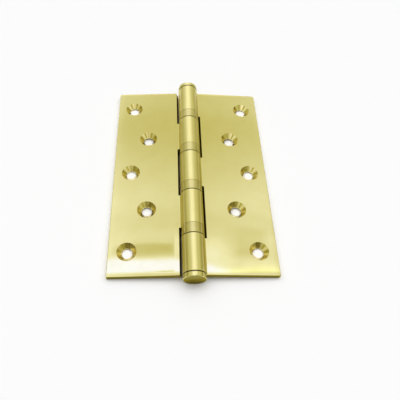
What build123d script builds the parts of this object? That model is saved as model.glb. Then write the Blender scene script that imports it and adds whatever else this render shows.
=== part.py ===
from build123d import *
from math import asin, atan2, cos, hypot, sin, sqrt
import os

# Five-knuckle ball-bearing butt hinge, lying open with its countersunk faces up.
# Millimetres. The barrel runs along Y, +Z is up, and the origin is below the
# middle of the barrel, on the ground that the hinge lies on.

# Overall sizes
leaf_length = 127.0
open_width = 88.9
leaf_thickness = 3.0
barrel_radius = 6.0
closed_gap = 1.6
knuckle_count = 5
bearing_space = 6.2
slot_width = 1.45
tip_length = 3.0

# Screw holes, five to a leaf in two staggered rows
inner_row = 25.0
outer_row = 34.7
hole_pitch = 25.0
hole_radius = 2.9
sink_radius = 5.2
sink_angle = 90

# Roundings and broken edges
edge_round = 0.3
end_break = 0.08
back_root = 1.5
rim_break = 0.15
tip_chamfer = 0.25
relief_width = 0.45
relief_depth = 1.0
lead_in = 0.6

# Clearances
running_clearance = 0.05
bearing_clearance = 0.1
end_play = 0.05
seam_gap = 0.45
rolling_clearance = 0.04
press_clearance = 0.01

# Bearing parts
ball_count = 6
cage_wall = 0.2
lip_depth = 0.5
lip_reach = 0.4
plug_length = 7.0

# Worked out from the sizes above
half_width = open_width / 2
half_length = leaf_length / 2
face_drop = closed_gap / 2
back_drop = face_drop + leaf_thickness
pin_radius = barrel_radius / 2
bore_radius = pin_radius + running_clearance
knuckle_length = (leaf_length - (knuckle_count - 1) * bearing_space) / knuckle_count
knuckle_step = knuckle_length + bearing_space
slot_edge = barrel_radius + slot_width
face_root = 0.4 * slot_width

# The leaves droop until their outer lower edges reach the ground with the barrel
corner_reach = hypot(half_width - edge_round, back_drop - edge_round)
corner_angle = atan2(back_drop - edge_round, half_width - edge_round)
droop = asin((barrel_radius - edge_round) / corner_reach) - corner_angle

axis_height = barrel_radius
axis_centre = Vector(0, 0, axis_height)
barrel_axis = Axis(axis_centre, (0, 1, 0))
barrel_plane = Plane.XY.offset(axis_height)

os.makedirs("parts", exist_ok=True)


def finish(piece, name):
    """Names a piece and writes it."""
    piece.part.label = name
    export_step(piece.part, f"parts/{name}.step")


def knuckle_middle(index):
    """Place of a knuckle's middle along the barrel, counted from the near end."""
    return (index - (knuckle_count - 1) / 2) * knuckle_step


def make_leaf(side, carries):
    """A leaf with its own knuckles. Side is 1 for right and -1 for left."""
    outward = Vector(side * cos(droop), 0, -sin(droop))
    upward = Vector(side * sin(droop), 0, cos(droop))
    end_plane = Plane(axis_centre + Vector(0, side * half_length, 0), outward, (0, -side, 0))
    face_plane = Plane(axis_centre - upward * face_drop, outward, upward)
    others = [i for i in range(knuckle_count) if i not in carries]

    with BuildPart(face_plane) as leaf:
        with BuildSketch(end_plane) as profile:
            Circle(barrel_radius)
            with Locations((half_width / 2, -(face_drop + back_drop) / 2)):
                Rectangle(half_width, leaf_thickness)
            fillet(profile.vertices().group_by(Axis.X)[-1], edge_round)
            face_corner = sqrt(barrel_radius**2 - face_drop**2)
            back_corner = sqrt(barrel_radius**2 - back_drop**2)
            fillet(profile.vertices().sort_by_distance((face_corner, -face_drop))[0], face_root)
            fillet(profile.vertices().sort_by_distance((back_corner, -back_drop))[0], back_root)
            Circle(bore_radius, mode=Mode.SUBTRACT)
        extrude(amount=leaf_length)

        # Cut-outs round the barrel for the other leaf's knuckles and the bearings at both their ends
        for index in others:
            middle = axis_centre + Vector(0, knuckle_middle(index), 0)
            with BuildSketch(Plane(middle, (1, 0, 0), (0, 1, 0))):
                Circle(slot_edge)
            extrude(amount=knuckle_length / 2 + bearing_space, both=True, mode=Mode.SUBTRACT)

        rims = leaf.edges().filter_by(GeomType.CIRCLE)
        rims = rims.filter_by(lambda rim: abs(rim.radius - barrel_radius) < end_break)
        chamfer(rims, end_break)

        with Locations(
            (outer_row, -2 * hole_pitch),
            (outer_row, 0),
            (outer_row, 2 * hole_pitch),
            (inner_row, -hole_pitch),
            (inner_row, hole_pitch),
        ):
            CounterSinkHole(hole_radius, sink_radius, counter_sink_angle=sink_angle)
    return leaf


right_leaf = make_leaf(1, carries=(0, 2, 4))
finish(right_leaf, "right_leaf")

left_leaf = make_leaf(-1, carries=(1, 3))
finish(left_leaf, "left_leaf")


# The pin, a plain rod held between the spigots of the two tips
shank_end = half_length - plug_length - lead_in

with BuildPart() as hinge_pin:
    with BuildSketch(Plane(axis_centre, (1, 0, 0), (0, 1, 0))):
        Circle(pin_radius)
    extrude(amount=shank_end, both=True)
    chamfer(hinge_pin.edges().filter_by(GeomType.CIRCLE), lead_in)
finish(hinge_pin, "hinge_pin")


# The button tips, each pressed by its spigot into the barrel's end knuckle
plug_radius = bore_radius - press_clearance
plug_end = half_length - plug_length
tip_end = half_length + tip_length


def make_tip(end):
    """A button with a relief and a spigot behind it. End is 1 for far and -1 for near."""
    with BuildPart() as tip:
        with BuildSketch(barrel_plane):
            with BuildLine():
                Polyline(
                    (0, end * tip_end),
                    (0, end * plug_end),
                    (plug_radius - lead_in, end * plug_end),
                    (plug_radius, end * (plug_end + lead_in)),
                    (plug_radius, end * half_length),
                    (barrel_radius - relief_depth, end * half_length),
                    (barrel_radius - relief_depth, end * (half_length + relief_width)),
                    (barrel_radius, end * (half_length + relief_width)),
                    (barrel_radius, end * (tip_end - tip_chamfer)),
                    (barrel_radius - tip_chamfer, end * tip_end),
                    close=True,
                )
            make_face()
        revolve(axis=barrel_axis)
    return tip


finish(make_tip(1), "far_tip")
finish(make_tip(-1), "near_tip")


# Bearings. Two stepped races roll on caged balls inside a casing whose lips hold them.
casing_ends = {1: bearing_space / 2 - end_play, -1: bearing_space / 2 - seam_gap}
casing_wall = pin_radius / 4
casing_bore = barrel_radius - casing_wall
lip_radius = casing_bore - lip_reach
race_bore = pin_radius + bearing_clearance
race_radius = casing_bore - bearing_clearance
neck_radius = lip_radius - bearing_clearance
neck_end = bearing_space / 2 - end_play
ball_circle = (race_bore + race_radius) / 2
pocket_radius = (race_radius - race_bore) / 2 - cage_wall
ball_radius = pocket_radius - rolling_clearance
race_gap = 1.2 * ball_radius
cage_thickness = 0.8 * ball_radius
groove_depth = pocket_radius * sqrt(2)
groove_half = groove_depth - race_gap / 2


def make_casing(middle):
    """The ring seen between two knuckles, with an inward lip at each end. It rests at its far end."""
    near, far = middle - casing_ends[-1], middle + casing_ends[1]
    with BuildPart() as casing:
        with BuildSketch(barrel_plane):
            with BuildLine():
                Polyline(
                    (lip_radius, near),
                    (barrel_radius - rim_break, near),
                    (barrel_radius, near + rim_break),
                    (barrel_radius, far - rim_break),
                    (barrel_radius - rim_break, far),
                    (lip_radius, far),
                    (lip_radius, far - lip_depth),
                    (casing_bore, far - lip_depth),
                    (casing_bore, near + lip_depth),
                    (lip_radius, near + lip_depth),
                    close=True,
                )
            make_face()
        revolve(axis=barrel_axis)
    return casing


def make_race(middle, end):
    """A washer with a V-shaped track, whose neck bears on a knuckle. End is 1 for far and -1 for near."""
    shoulder = casing_ends[end] - lip_depth - end_play
    with BuildPart() as race:
        with BuildSketch(barrel_plane):
            with BuildLine():
                Polyline(
                    (ball_circle - groove_half, middle + end * race_gap / 2),
                    (race_bore, middle + end * race_gap / 2),
                    (race_bore, middle + end * neck_end),
                    (neck_radius, middle + end * neck_end),
                    (neck_radius, middle + end * shoulder),
                    (race_radius, middle + end * shoulder),
                    (race_radius, middle + end * race_gap / 2),
                    (ball_circle + groove_half, middle + end * race_gap / 2),
                    (ball_circle, middle + end * groove_depth),
                    close=True,
                )
            make_face()
        revolve(axis=barrel_axis)
    return race


def make_cage(plane):
    """A flat ring with one pocket for each ball."""
    with BuildPart() as cage:
        with BuildSketch(plane):
            Circle(race_radius)
            Circle(race_bore, mode=Mode.SUBTRACT)
            with PolarLocations(ball_circle, ball_count):
                Circle(pocket_radius, mode=Mode.SUBTRACT)
        extrude(amount=cage_thickness / 2, both=True)
    return cage


def make_balls(plane):
    """The balls of one bearing."""
    with BuildPart(plane) as balls:
        with PolarLocations(ball_circle, ball_count):
            Sphere(ball_radius)
    return balls


# Counted from the far end of the barrel
for number in range(1, knuckle_count):
    middle = knuckle_middle(knuckle_count - number) - knuckle_step / 2
    cross_plane = Plane(axis_centre + Vector(0, middle, 0), (1, 0, 0), (0, 1, 0))
    finish(make_casing(middle), f"bearing_{number}_casing")
    finish(make_race(middle, 1), f"bearing_{number}_far_race")
    finish(make_race(middle, -1), f"bearing_{number}_near_race")
    finish(make_cage(cross_plane), f"bearing_{number}_cage")
    finish(make_balls(cross_plane), f"bearing_{number}_balls")
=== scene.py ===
from math import asin, atan2, cos, hypot, radians, sin

import bpy
from mathutils import Matrix, Vector

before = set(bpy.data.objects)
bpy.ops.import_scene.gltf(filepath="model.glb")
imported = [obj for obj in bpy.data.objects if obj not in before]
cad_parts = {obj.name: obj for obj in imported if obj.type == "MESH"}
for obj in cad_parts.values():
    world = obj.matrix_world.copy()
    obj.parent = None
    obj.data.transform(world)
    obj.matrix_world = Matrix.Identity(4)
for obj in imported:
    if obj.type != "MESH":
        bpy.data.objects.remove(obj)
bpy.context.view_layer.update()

# Sizes in metres, in the hinge's own frame: barrel along Y, ground at z = 0
HALF_LENGTH = 0.0635
HALF_WIDTH = 0.04445
LEAF_THICKNESS = 0.003
BARREL_RADIUS = 0.006
CLOSED_GAP = 0.0016
SLOT_EDGE = 0.00745
EDGE_ROUND = 0.0003
TIP_GROOVE = 0.00045
INNER_ROW = 0.025
OUTER_ROW = 0.0347
HOLE_PITCH = 0.025
SINK_RADIUS = 0.0052
BEARING_COUNT = 4

# The leaves droop to the ground from the barrel, as they lie at rest
FACE_DROP = CLOSED_GAP / 2
CORNER_X = HALF_WIDTH - EDGE_ROUND
CORNER_Z = FACE_DROP + LEAF_THICKNESS - EDGE_ROUND
DROOP = asin((BARREL_RADIUS - EDGE_ROUND) / hypot(CORNER_X, CORNER_Z)) - atan2(CORNER_Z, CORNER_X)
AXIS_POINT = Vector((0, 0, BARREL_RADIUS))
ALONG_BARREL = (0, 1, 0)
ACROSS_BARREL = (1, 0, 1)
TANGENT_NUDGE = (0.001, 0, 0.001)

# Faces rounded off by buffing: how far in from the edge it reaches, and the slope at the edge
END_ROLL = (0.003, 0.025)
SIDE_ROLL = (0.004, 0.03)
SLOT_ROLL_RIGHT = (0.003, 0.01)
SLOT_ROLL_LEFT = (0.003, 0.05)
# The crown of a turned end, as its fall over the square of the radius
END_CROWN = 32.0
# Painted shade past the groove behind a tip, from where it is full to where it ends
TIP_GROOVE_SHADE = (0.0001, 0.0003)

# Limits that tell a piece's faces apart: how squarely a cut face looks along the barrel or in
# towards it, where the barrel's finish ends in barrel radii, and a countersink's in its own radius
END_FACING = (0.85, 0.95)
WALL_FACING = (0.7, 0.8)
BACK_FACING = -0.5
BARREL_FINISH = (1.01, 1.12)
PAST_BARREL = 1.02
SINK_FINISH = 1.004

# Colours, linear
BRASS = (0.80, 0.72, 0.30, 1)
BRASS_DEEP = (0.74, 0.64, 0.23, 1)
RING_BRASS = (0.68, 0.60, 0.24, 1)
SINK_BRASS = (0.84, 0.74, 0.32, 1)
SINK_DEEP = (0.64, 0.53, 0.19, 1)
# Leaf ends left unpolished, with their colour also painted darker as shade
DULL_SHADED_END_BRASS = (0.30, 0.25, 0.08, 1)
# Painted shade: near-black brass for the slot walls, the seams between knuckles and the groove behind a tip
RECESS_SHADE_BRASS = (0.11, 0.07, 0.012, 1)
STEEL = (0.62, 0.62, 0.61, 1)
CAGE = (0.62, 0.47, 0.20, 1)
WHITE = (1, 1, 1, 1)
FLOOR_WHITE = (0.97, 0.97, 0.97, 1)
BACKGROUND = (0.98, 0.98, 0.98, 1)
# What cut faces take at a glancing angle, and shares of a colour for its darker tone and for dull ends, the
# ends' share also painted shade
END_GLANCE = (0.75, 0.66, 0.32, 1)
TURNED_TONE = (0.9, 0.9, 0.9)
DULL_SHADED_TURNED_END = (0.38, 0.36, 0.25)
FLOOR_TONE = (0.985, 0.985, 0.985)

# Roughness, from the smoothest to the roughest spots
FACE_ROUGH = (0.03, 0.05)
BARREL_ROUGH = (0.34, 0.38)
SINK_ROUGH = (0.12, 0.18)
RING_ROUGH = (0.29, 0.33)
TIP_ROUGH = (0.26, 0.32)
BEARING_ROUGH = (0.08, 0.15)
PIN_ROUGH = (0.2, 0.3)
CAGE_ROUGH = (0.25, 0.35)
CUT_ROUGH = 0.2
TURNED_END_ROUGH = 0.18
FLOOR_ROUGH = 0.9
# How strongly polishing has drawn a surface one way
BARREL_DRAWN = 0.85
SINK_DRAWN = 0.8
TURNED_DRAWN = 0.88

# Noise in cells to the metre, and the heights of its bumps in metres
WAVE_CELLS = 38
WAVE_HEIGHT = 0.00006
STREAK_CELLS = (1500, 25, 1500)
BARREL_STREAK = 0.00002
TURNED_STREAK = 0.00001
SINK_RING_CELLS = (9000, 9000, 9000)
LEAF_TONE_CELLS = 120
TURNED_TONE_CELLS = 200
FLOOR_CELLS = 900
FLOOR_GRAIN = 0.0001
FLOOR_GRAIN_STRENGTH = 0.05
# Cells of chatter round a countersink, as the radius of a circle of noise
CHATTER_CIRCLE = 1.8
CHATTER_RANGE = (0.35, 0.65)
# How far a colour goes at most towards its deeper tone
LEAF_TONE_MOST = 0.3
TURNED_TONE_MOST = 0.5
# The part of its range that a noise mostly stays in
NOISE_RANGE = (0.3, 0.7)
# Colour ramps hold levels up to 1, so a curve's levels are kept as shares of this
CURVE_TOP = 4


class Shader:
    """Short ways to add and link the nodes of one node tree."""

    def __init__(self, tree):
        self.tree = tree
        tree.nodes.clear()

    def node(self, kind, **settings):
        made = self.tree.nodes.new(kind)
        for key, value in settings.items():
            setattr(made, key, value)
        return made

    def put(self, socket, value):
        """Links a socket to another one, or sets its value."""
        if isinstance(value, bpy.types.NodeSocket):
            self.tree.links.new(value, socket)
        else:
            socket.default_value = value

    def math(self, operation, *values, clamp=False):
        made = self.node("ShaderNodeMath", operation=operation, use_clamp=clamp)
        for socket, value in zip(made.inputs, values):
            self.put(socket, value)
        return made.outputs[0]

    def rest(self, share):
        """What a share leaves of one."""
        return self.math("SUBTRACT", 1.0, share)

    def vector(self, operation, *values):
        made = self.node("ShaderNodeVectorMath", operation=operation)
        for socket, value in zip(made.inputs, values):
            self.put(socket, value)
        scalar = operation in ("DOT_PRODUCT", "LENGTH")
        return made.outputs["Value" if scalar else "Vector"]

    def scale(self, vector, factor):
        made = self.node("ShaderNodeVectorMath", operation="SCALE")
        self.put(made.inputs["Vector"], vector)
        self.put(made.inputs["Scale"], factor)
        return made.outputs["Vector"]

    def split(self, vector):
        made = self.node("ShaderNodeSeparateXYZ")
        self.put(made.inputs[0], vector)
        return made.outputs

    def mix(self, kind, factor, a, b):
        made = self.node("ShaderNodeMix", data_type=kind)
        self.put(made.inputs["Factor"], factor)
        first, second = {"FLOAT": (2, 3), "VECTOR": (4, 5), "RGBA": (6, 7)}[kind]
        out = {"FLOAT": 0, "VECTOR": 1, "RGBA": 2}[kind]
        self.put(made.inputs[first], a)
        self.put(made.inputs[second], b)
        return made.outputs[out]

    def noise(self, vector, scale, detail):
        made = self.node("ShaderNodeTexNoise")
        self.put(made.inputs["Vector"], vector)
        self.put(made.inputs["Scale"], scale)
        self.put(made.inputs["Detail"], detail)
        return made.outputs["Fac"]

    def remap(self, value, low, high, to_low, to_high):
        """Takes a range smoothly to another one, and holds it there outside."""
        made = self.node("ShaderNodeMapRange", interpolation_type="SMOOTHSTEP")
        for socket, item in zip(made.inputs, (value, low, high, to_low, to_high)):
            self.put(socket, item)
        return made.outputs[0]

    def curve(self, value, stops):
        """Straight lines through stops of a place and one level, or a place and three."""
        made = self.node("ShaderNodeValToRGB")
        made.color_ramp.interpolation = "LINEAR"
        marks = made.color_ramp.elements
        while len(marks) < len(stops):
            marks.new(0.5)
        first, last = stops[0][0], stops[-1][0]
        for mark, (place, *levels) in zip(marks, stops):
            mark.position = (place - first) / (last - first)
            red, green, blue = levels if len(levels) == 3 else levels * 3
            mark.color = (red / CURVE_TOP, green / CURVE_TOP, blue / CURVE_TOP, 1)
        span = self.math("DIVIDE", self.math("SUBTRACT", value, first), last - first)
        self.put(made.inputs["Fac"], span)
        return self.scale(made.outputs["Color"], CURVE_TOP)

    def bump(self, height, strength=1.0, distance=1.0, normal=None):
        made = self.node("ShaderNodeBump")
        self.put(made.inputs["Height"], height)
        self.put(made.inputs["Strength"], strength)
        self.put(made.inputs["Distance"], distance)
        if normal is not None:
            self.put(made.inputs["Normal"], normal)
        return made.outputs["Normal"]

    def surface(self, **inputs):
        """Ends a material with a surface whose inputs have these names and values."""
        made = self.node("ShaderNodeBsdfPrincipled")
        for key, value in inputs.items():
            self.put(made.inputs[key.replace("_", " ")], value)
        out = self.node("ShaderNodeOutputMaterial")
        self.tree.links.new(made.outputs[0], out.inputs["Surface"])


def new_shader(name):
    """A new material, and the shader that fills its nodes."""
    made = bpy.data.materials.new(name)
    made.use_nodes = True
    return made, Shader(made.node_tree)


def shaded(colour, shares):
    """A colour with each of its levels taken down to a share."""
    return tuple(level * share for level, share in zip(colour, shares)) + (1,)


def dress(node, material):
    """Gives a CAD node its material."""
    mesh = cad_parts[node].data
    mesh.materials.clear()
    mesh.materials.append(material)


def distance_from_axis(s, place):
    from_pin = s.vector("SUBTRACT", place, AXIS_POINT)
    return s.vector("LENGTH", s.vector("MULTIPLY", from_pin, ACROSS_BARREL))


def distance_along(s, place):
    """Distance from the barrel's middle, along it."""
    return s.math("ABSOLUTE", s.split(place)["Y"])


def facing_along(s, facing):
    """One on faces that look along the barrel, none on the rest."""
    return s.remap(s.math("ABSOLUTE", s.split(facing)["Y"]), *END_FACING, 0, 1)


def drawn_streaks(s, place):
    """Fine noise drawn out along the barrel."""
    return s.noise(s.vector("MULTIPLY", place, STREAK_CELLS), 1, detail=2)


def nearest_hole(s, place, outward, upward):
    """Vector to a place from the axis of the leaf's nearest hole, square to that axis, and its length."""
    holes = [(OUTER_ROW, n * HOLE_PITCH) for n in (-2, 0, 2)]
    holes += [(INNER_ROW, n * HOLE_PITCH) for n in (-1, 1)]
    nearest, reach = None, None
    for out, along in holes:
        centre = AXIS_POINT + out * outward - FACE_DROP * upward + Vector((0, along, 0))
        offset = s.vector("SUBTRACT", place, centre)
        height = s.vector("DOT_PRODUCT", offset, upward)
        flat = s.vector("SUBTRACT", offset, s.scale(upward, height))
        length = s.vector("LENGTH", flat)
        if nearest is None:
            nearest, reach = flat, length
        else:
            closer = s.math("LESS_THAN", length, reach)
            nearest = s.mix("VECTOR", closer, nearest, flat)
            reach = s.math("MINIMUM", length, reach)
    return nearest, reach


def rolled_edges(s, place, outward, slot_roll):
    """How far buffing has lowered a leaf's face near its ends, its side and its slots."""
    out = s.vector("DOT_PRODUCT", s.vector("SUBTRACT", place, AXIS_POINT), outward)
    edges = (
        (s.math("SUBTRACT", HALF_LENGTH, distance_along(s, place)), END_ROLL),
        (s.math("SUBTRACT", HALF_WIDTH, out), SIDE_ROLL),
        (s.math("SUBTRACT", out, SLOT_EDGE), slot_roll),
    )
    rolled = 0.0
    for distance, (width, slope) in edges:
        near_edge = s.rest(s.math("DIVIDE", distance, width, clamp=True))
        drop = s.math("MULTIPLY", s.math("MULTIPLY", near_edge, near_edge), -0.5 * slope * width)
        rolled = s.math("ADD", drop, rolled)
    return rolled


def leaf_brass(side):
    """Polished brass for a leaf, with its barrel, its countersinks and its dull cut faces told apart; the
    cut faces' colour is painted darker as shade.
    """
    made, s = new_shader("leaf_brass_right" if side > 0 else "leaf_brass_left")
    coords = s.node("ShaderNodeTexCoord")
    place, facing = coords.outputs["Object"], coords.outputs["Normal"]
    outward = Vector((side * cos(DROOP), 0, -sin(DROOP)))
    upward = Vector((side * sin(DROOP), 0, cos(DROOP)))

    # Countersinks, and the direction down their walls
    nearest, reach = nearest_hole(s, place, outward, upward)
    spoke = s.vector("NORMALIZE", nearest)
    off_back = s.math("GREATER_THAN", s.vector("DOT_PRODUCT", facing, upward), BACK_FACING)
    in_sink = s.math("MULTIPLY", s.math("LESS_THAN", reach, SINK_RADIUS * SINK_FINISH), off_back)
    around = s.vector("CROSS_PRODUCT", spoke, upward)
    down_sink = s.vector("NORMALIZE", s.vector("CROSS_PRODUCT", facing, around))

    # The barrel, told apart from the flat leaf by its distance from the axis
    from_axis = distance_from_axis(s, place)
    on_barrel = s.remap(from_axis, *(BARREL_RADIUS * limit for limit in BARREL_FINISH), 1, 0)

    # Cut faces: the leaf's and knuckles' ends and the slot walls, left unpolished and rougher, with their
    # colour painted darker as shade, near black as painted shade in the slots and the seams between knuckles
    on_end = facing_along(s, facing)
    inward = s.math("MULTIPLY", s.vector("DOT_PRODUCT", facing, outward), -1.0)
    past_barrel = s.math("GREATER_THAN", from_axis, BARREL_RADIUS * PAST_BARREL)
    on_wall = s.math("MULTIPLY", s.remap(inward, *WALL_FACING, 0, 1), past_barrel)
    dull_and_shaded = s.math("MULTIPLY", s.math("MAXIMUM", on_end, on_wall), s.rest(in_sink))
    open_end = s.math("MULTIPLY", on_end, s.rest(on_barrel))

    waves = s.noise(place, WAVE_CELLS, detail=1)
    streaks = drawn_streaks(s, place)
    rings = s.noise(s.scale(SINK_RING_CELLS, reach), 1, detail=2)
    hole_place = s.vector("SUBTRACT", place, nearest)
    chatter = s.noise(s.vector("ADD", s.scale(spoke, CHATTER_CIRCLE), hole_place), 1, detail=1)
    tone = s.noise(place, LEAF_TONE_CELLS, detail=3)

    colour = s.mix("RGBA", s.remap(tone, *NOISE_RANGE, 0, LEAF_TONE_MOST), BRASS, BRASS_DEEP)
    sink_colour = s.mix("RGBA", s.remap(chatter, *CHATTER_RANGE, 0, 1), SINK_BRASS, SINK_DEEP)
    colour = s.mix("RGBA", in_sink, colour, sink_colour)
    # Painted shade on cut faces: near black in the slots and seams, darker brass on the leaf's open ends
    colour = s.mix("RGBA", dull_and_shaded, colour, s.mix("RGBA", open_end, RECESS_SHADE_BRASS, DULL_SHADED_END_BRASS))

    face_rough = s.remap(streaks, *NOISE_RANGE, *FACE_ROUGH)
    rough = s.mix("FLOAT", on_barrel, face_rough, s.remap(streaks, *NOISE_RANGE, *BARREL_ROUGH))
    rough = s.mix("FLOAT", in_sink, rough, s.remap(rings, *NOISE_RANGE, *SINK_ROUGH))
    rough = s.mix("FLOAT", dull_and_shaded, rough, CUT_ROUGH)
    barrel_drawn = s.math("MULTIPLY", on_barrel, BARREL_DRAWN)
    drawn = s.math("MAXIMUM", barrel_drawn, s.math("MULTIPLY", in_sink, SINK_DRAWN))

    slot_roll = SLOT_ROLL_RIGHT if side > 0 else SLOT_ROLL_LEFT
    rolled = s.math("MULTIPLY", rolled_edges(s, place, outward, slot_roll), s.rest(on_barrel))
    normal = s.bump(s.math("ADD", s.math("MULTIPLY", waves, WAVE_HEIGHT), rolled))
    barrel_streaks = s.math("MULTIPLY", s.math("MULTIPLY", streaks, on_barrel), BARREL_STREAK)
    s.surface(
        Base_Color=colour,
        Metallic=1.0,
        Specular_Tint=s.mix("RGBA", dull_and_shaded, WHITE, END_GLANCE),
        Roughness=rough,
        Anisotropic=drawn,
        Tangent=s.mix("VECTOR", in_sink, ALONG_BARREL, down_sink),
        Normal=s.bump(barrel_streaks, normal=normal),
    )
    return made


def turned_metal(name, colour, roughness):
    """Metal turned about the barrel, drawn lengthwise by polishing, with duller crowned ends whose colour is
    painted darker as shade, and painted shade beside the groove behind a tip.
    """
    made, s = new_shader(name)
    coords = s.node("ShaderNodeTexCoord")
    place, facing = coords.outputs["Object"], coords.outputs["Normal"]
    on_end = facing_along(s, facing)
    from_axis = distance_from_axis(s, place)
    crown = s.math("MULTIPLY", s.math("MULTIPLY", from_axis, from_axis), -END_CROWN)

    # Along the surface as the barrel runs, with a nudge so that it is never nought on an end
    around = s.vector("CROSS_PRODUCT", facing, ALONG_BARREL)
    along = s.vector("ADD", s.vector("CROSS_PRODUCT", around, facing), TANGENT_NUDGE)

    streaks = drawn_streaks(s, place)
    tone = s.noise(place, TURNED_TONE_CELLS, detail=3)
    toned = s.remap(tone, *NOISE_RANGE, 0, TURNED_TONE_MOST)
    tint = s.mix("RGBA", toned, colour, shaded(colour, TURNED_TONE))

    # Painted shade beside the groove behind a tip
    past_end = s.math("SUBTRACT", distance_along(s, place), HALF_LENGTH)
    by_groove = s.remap(past_end, *(TIP_GROOVE + reach for reach in TIP_GROOVE_SHADE), 1, 0)
    groove_shade = s.math("MULTIPLY", by_groove, s.math("GREATER_THAN", past_end, 0.0))
    tint = s.mix("RGBA", groove_shade, tint, RECESS_SHADE_BRASS)

    height = s.mix("FLOAT", on_end, s.math("MULTIPLY", streaks, TURNED_STREAK), crown)
    s.surface(
        # Ends take a darker share of the colour: dull, and also painted shade
        Base_Color=s.mix("RGBA", on_end, tint, shaded(colour, DULL_SHADED_TURNED_END)),
        Metallic=1.0,
        Specular_Tint=s.mix("RGBA", on_end, WHITE, END_GLANCE),
        Roughness=s.mix("FLOAT", on_end, s.remap(streaks, *NOISE_RANGE, *roughness), TURNED_END_ROUGH),
        Anisotropic=s.mix("FLOAT", on_end, TURNED_DRAWN, 0.0),
        Tangent=along,
        Normal=s.bump(height),
    )
    return made


def pale_floor():
    """A plain white sheet with a faint grain."""
    made, s = new_shader("floor")
    place = s.node("ShaderNodeTexCoord").outputs["Object"]
    grain = s.noise(place, FLOOR_CELLS, detail=3)
    s.surface(
        Base_Color=s.mix("RGBA", grain, FLOOR_WHITE, shaded(FLOOR_WHITE, FLOOR_TONE)),
        Roughness=FLOOR_ROUGH,
        Specular_IOR_Level=0.0,
        Normal=s.bump(grain, FLOOR_GRAIN_STRENGTH, FLOOR_GRAIN),
    )
    return made


# The room that shiny metal sees, by angle in degrees: back from overhead to the far side, and
# aside to the right. Its level is the two curves multiplied.
ROOM_BACK = [
    (-180, 0.4), (-90, 0.6), (-76, 0.55), (-70, 0.12), (-66, 0.06), (-62, 0.12), (-58, 0.36), (-54, 0.66),
    (-50, 0.8), (10, 0.85), (24, 0.92), (25.4, 0.92), (26.8, 0.95), (28.8, 0.86), (31.6, 0.95), (34.6, 0.88),
    (38.8, 0.78), (43, 0.72), (45.6, 0.82), (52, 0.78), (60, 0.73), (75, 0.7), (90, 0.7), (180, 0.4),
]
ROOM_ASIDE = [
    (-90, 0.2), (-78, 0.26), (-64, 0.4), (-57, 0.56), (-48, 0.74), (-42, 0.76), (-32, 0.74), (-22, 1.22),
    (-16, 1.2), (-12, 1.13), (-9, 1.05), (-5, 1.0), (8, 0.96), (16, 1.06), (21, 1.1), (27, 0.86),
    (36, 0.8), (48, 0.78), (57, 0.56), (64, 0.4), (78, 0.26), (90, 0.2),
]
# A window that glares on the near ends of the leaves, leaning a little about a place aside
LAMP_BACK = [
    (0, 0.0), (19.6, 0.0), (20.1, 0.4), (20.7, 0.5), (21.2, 1.5), (22.1, 1.8), (22.9, 1.8), (23.2, 1.0),
    (23.5, 0.2), (23.9, 0.0),
]
LAMP_ASIDE = [
    (-35, 0.0), (-24, 0.5), (-14, 1.0), (6, 1.0), (12, 1.0), (13.2, 0.55), (14.6, 0.12), (17, 0.0),
]
LAMP_TILT = 0.045
LAMP_PIVOT = -5.0
# A warmer glow beside the window
WARM_BACK = [(18, 0.0), (20.2, 0.0), (20.8, 1.0), (22.2, 1.0), (22.95, 0.0), (26, 0.0)]
WARM_ASIDE = [(11.5, 0.0), (14.2, 0.8), (16, 1.0), (21, 1.0), (28, 0.0)]
WARM_TILT = -0.1
WARM_PIVOT = 15.5
WARM_COLOUR = (0.2, 0.24, 0.03)
# A strip of light over the barrel, with a gap where the leaves would mirror it
STRIP_BACK = [
    (-50, 0.0), (-35, 0.65), (12, 0.65), (18, 0.0), (48, 0.0), (53, 1.0), (85, 1.0), (100, 0.0),
]
STRIP_ASIDE = [(-22, 0.0), (-15, 0.25), (-9, 1.15), (9, 1.15), (15, 0.25), (22, 0.0)]
STRIP_COLOUR = (1, 1, 1.5)
# Smaller light and dark things: strength, then where each starts, is full and ends, back and aside
THING_EDGES = (0, 1, 1, 0)
THINGS = [
    # Round the window
    (-0.2, (23.5, 24.6, 25.45, 25.7), (-15, -10.5, -4.8, -3.4)),
    (0.2, (22.5, 24, 26, 27), (-3.8, -2.5, 2, 4)),
    (-1.3, (20.5, 21.1, 21.6, 21.95), (-8, -6, -4, -2.5)),
    (0.33, (22, 22.8, 25, 27), (9, 10.5, 12.2, 15.4)),
    (-0.12, (23.8, 24.6, 27.4, 28.6), (13, 15.4, 18.2, 19.8)),
    (0.12, (21.5, 22.3, 23.2, 24.2), (13, 17, 24, 30)),
    # Light from both sides, for the barrel's flanks
    (0.35, (-40, -30, 5, 20), (-80, -66, -46, -34)),
    (0.35, (-40, -30, 5, 20), (34, 46, 66, 80)),
    # Dark things on the camera's side
    (-0.22, (-71, -65, -47, -40), (-85, -66, -38, -22)),
    (-0.15, (-71, -65, -48, -42), (22, 38, 66, 85)),
    # Dark stripes beside the strip of light
    (-0.25, (-50, -40, 8, 17), (-37, -30, -21, -16)),
    (-0.25, (-50, -40, 8, 17), (16, 21, 30, 37)),
    # Light low on the far side
    (0.25, (46, 54, 76, 90), (-50, -44, -24, -17)),
    (0.12, (46, 54, 76, 90), (17, 24, 40, 48)),
    # Light near the ground on the camera's side, for views from behind
    (0.4, (-100, -82, -74, -67), (-90, -80, -42, -30)),
    (0.4, (-100, -82, -74, -67), (30, 42, 80, 90)),
]
# What the metal makes of each level: dim parts of the room look warmer in it
ROOM_TINT = [
    (0, 0.08, 0.065, 0.012), (0.16, 0.16, 0.12, 0.02), (0.36, 0.36, 0.33, 0.06), (0.45, 0.45, 0.44, 0.11),
    (0.56, 0.56, 0.55, 0.22), (0.72, 0.72, 0.71, 0.48), (0.95, 0.95, 0.97, 1.06), (1.1, 1.08, 1.12, 1.36),
    (1.4, 1.16, 1.24, 1.9), (2.4, 1.24, 1.37, 3),
]
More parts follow.
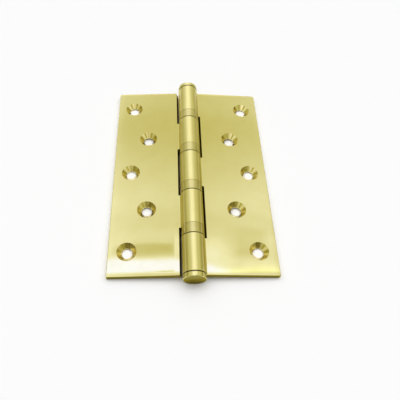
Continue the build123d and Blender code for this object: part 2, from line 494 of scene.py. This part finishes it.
# Light on the ground, strongest from a broad softbox a little behind overhead
LIGHT_BACK = [
    (-180, 0.15), (-90, 0.15), (-40, 0.22), (-14, 0.8), (-2, 1.8), (11, 3.1), (24, 2.6), (38, 1.1),
    (58, 0.42), (90, 0.2), (180, 0.2),
]
LIGHT_ASIDE = [(-90, 0.12), (-60, 0.3), (-35, 0.8), (0, 1.0), (35, 0.8), (60, 0.3), (90, 0.12)]
LIGHT_LEVEL = 1.095

# A floor in metres, just below the ground so that it touches no piece
FLOOR_HALF = 1.5
FLOOR_DROP = 0.00002

# The camera that fits the photograph: place in metres, angles in degrees, sensor and lens in millimetres
CAMERA_PLACE = (-0.01415, -0.13705, 0.19607)
CAMERA_HEADING = -5.082
CAMERA_DOWN = 58.31
CAMERA_ROLL = 4.372
SENSOR_WIDTH = 36
LENS = 36.357
LENS_SHIFT = 0.0375
NEAREST_SEEN = 0.01


def studio():
    """A white room for light and background, with what shiny metal sees of it drawn apart."""
    world = bpy.data.worlds.new("studio")
    bpy.context.scene.world = world
    world.use_nodes = True
    s = Shader(world.node_tree)
    x, y, z = s.split(s.node("ShaderNodeTexCoord").outputs["Generated"])
    back = s.math("DEGREES", s.math("ARCTAN2", y, z))
    aside = s.math("DEGREES", s.math("ARCSINE", x))

    def leaning(tilt, pivot):
        """The angle back, for something that leans about a place aside."""
        return s.math("ADD", back, s.math("MULTIPLY", s.math("SUBTRACT", aside, pivot), tilt))

    def patch(angle, along, across):
        """Levels by an angle back and by the angle aside."""
        return s.vector("MULTIPLY", s.curve(angle, along), s.curve(aside, across))

    level = s.vector(
        "ADD",
        patch(back, ROOM_BACK, ROOM_ASIDE),
        patch(leaning(LAMP_TILT, LAMP_PIVOT), LAMP_BACK, LAMP_ASIDE),
    )
    for strength, along, across in THINGS:
        thing = patch(back, list(zip(along, THING_EDGES)), list(zip(across, THING_EDGES)))
        level = s.vector("ADD", level, s.scale(thing, strength))
    level = s.split(level)["X"]
    strip = patch(back, STRIP_BACK, STRIP_ASIDE)
    seen = s.vector("ADD", s.curve(level, ROOM_TINT), s.vector("MULTIPLY", strip, STRIP_COLOUR))
    warm = patch(leaning(WARM_TILT, WARM_PIVOT), WARM_BACK, WARM_ASIDE)
    seen = s.vector("ADD", seen, s.vector("MULTIPLY", warm, WARM_COLOUR))
    light = s.scale(patch(back, LIGHT_BACK, LIGHT_ASIDE), LIGHT_LEVEL)

    ray = s.node("ShaderNodeLightPath")
    colour = s.mix("RGBA", ray.outputs["Is Glossy Ray"], light, seen)
    colour = s.mix("RGBA", ray.outputs["Is Camera Ray"], colour, BACKGROUND)
    shine = s.node("ShaderNodeBackground")
    s.put(shine.inputs["Color"], colour)
    out = s.node("ShaderNodeOutputWorld")
    s.tree.links.new(shine.outputs[0], out.inputs["Surface"])


def floor():
    """The pale ground that the hinge lies on."""
    mesh = bpy.data.meshes.new("floor")
    corners = [(FLOOR_HALF * x, FLOOR_HALF * y, 0) for x, y in ((-1, -1), (1, -1), (1, 1), (-1, 1))]
    mesh.from_pydata(corners, [], [(0, 1, 2, 3)])
    made = bpy.data.objects.new("floor", mesh)
    made.location.z = -FLOOR_DROP
    mesh.materials.append(pale_floor())
    bpy.context.scene.collection.objects.link(made)


def camera():
    """Stands close above the near end and looks down along the barrel."""
    data = bpy.data.cameras.new("camera")
    data.sensor_width = SENSOR_WIDTH
    data.lens = LENS
    data.shift_x = LENS_SHIFT
    data.clip_start = NEAREST_SEEN
    made = bpy.data.objects.new("camera", data)
    bpy.context.scene.collection.objects.link(made)
    heading = Matrix.Rotation(radians(CAMERA_HEADING), 4, "Z")
    tilt = Matrix.Rotation(radians(90 - CAMERA_DOWN), 4, "X")
    roll = Matrix.Rotation(radians(CAMERA_ROLL), 4, "Z")
    made.matrix_world = Matrix.Translation(CAMERA_PLACE) @ heading @ tilt @ roll
    bpy.context.scene.camera = made


# Leaves, tips and pin
tip_brass = turned_metal("tip_brass", BRASS, TIP_ROUGH)
dress("right_leaf", leaf_brass(1))
dress("left_leaf", leaf_brass(-1))
dress("far_tip", tip_brass)
dress("near_tip", tip_brass)
dress("hinge_pin", turned_metal("pin_steel", STEEL, PIN_ROUGH))

# Bearings
ring_brass = turned_metal("turned_brass", RING_BRASS, RING_ROUGH)
bearing_steel = turned_metal("bearing_steel", STEEL, BEARING_ROUGH)
cage_brass = turned_metal("cage_brass", CAGE, CAGE_ROUGH)
for number in range(1, BEARING_COUNT + 1):
    dress(f"bearing_{number}_casing", ring_brass)
    dress(f"bearing_{number}_cage", cage_brass)
    for piece in ("far_race", "near_race", "balls"):
        dress(f"bearing_{number}_{piece}", bearing_steel)

studio()
floor()
camera()
bpy.context.scene.view_settings.view_transform = "Standard"
